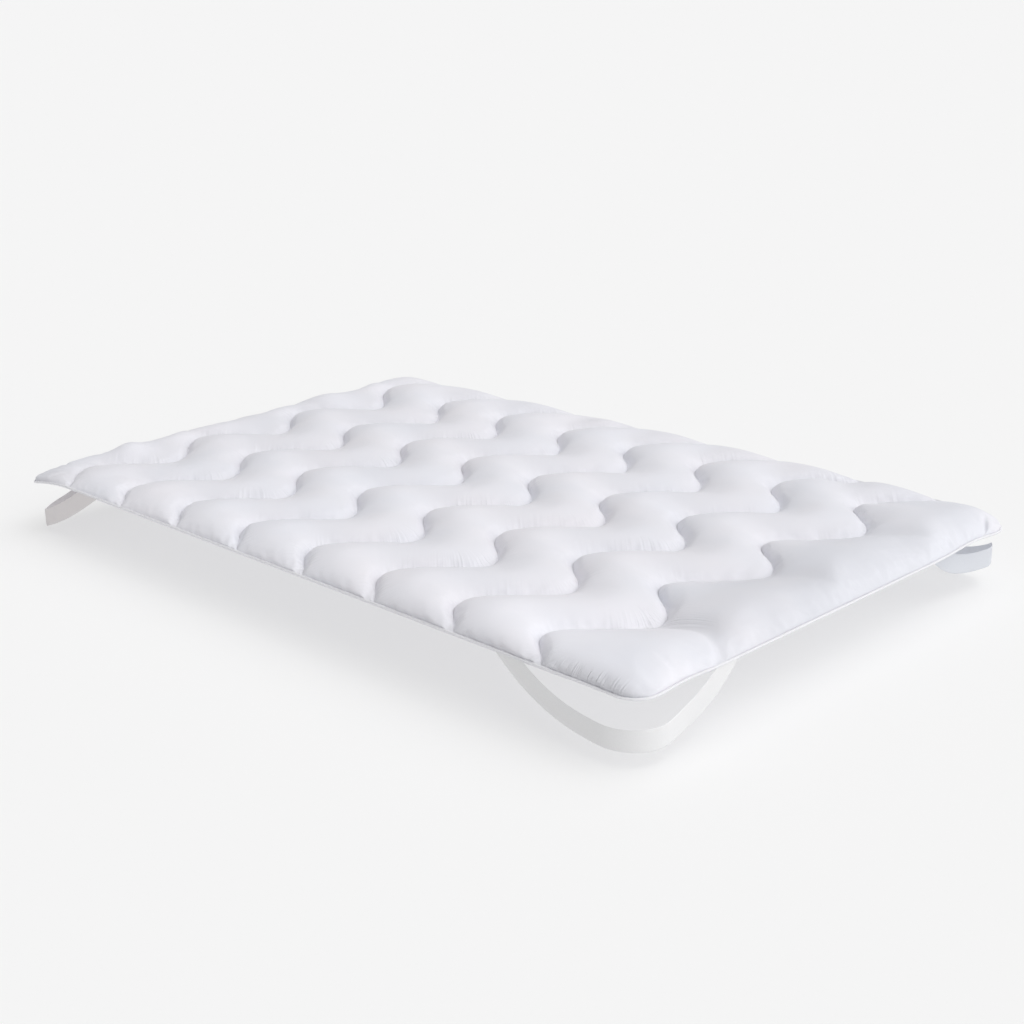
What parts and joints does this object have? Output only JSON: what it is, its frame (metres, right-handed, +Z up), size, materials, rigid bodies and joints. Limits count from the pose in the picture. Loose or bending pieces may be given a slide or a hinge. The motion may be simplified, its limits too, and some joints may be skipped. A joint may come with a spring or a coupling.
{
  "type": "quilted mattress topper",
  "caption": "Flat filled pad quilted in wavy channels, with a piped edge and an elastic strap slung below each corner to hold it on a mattress.",
  "frame": {"origin": "centre of the flat underside, which lies on the mattress", "axes": "+X along the length, +Y across the width, +Z up out of the bed"},
  "size_m": [1.9, 1.222, 0.1681],
  "materials": {
    "cover_cloth": "matt white microfibre",
    "piping_cloth": "matt white",
    "elastic": "ribbed white elastic"
  },
  "bodies": {
    "root": {"quilted_pad": "cover_cloth", "edge_piping": "piping_cloth", "elastic_strap_near_right": "elastic", "elastic_strap_near_left": "elastic", "elastic_strap_far_right": "elastic", "elastic_strap_far_left": "elastic"}
  },
  "joints": []
}
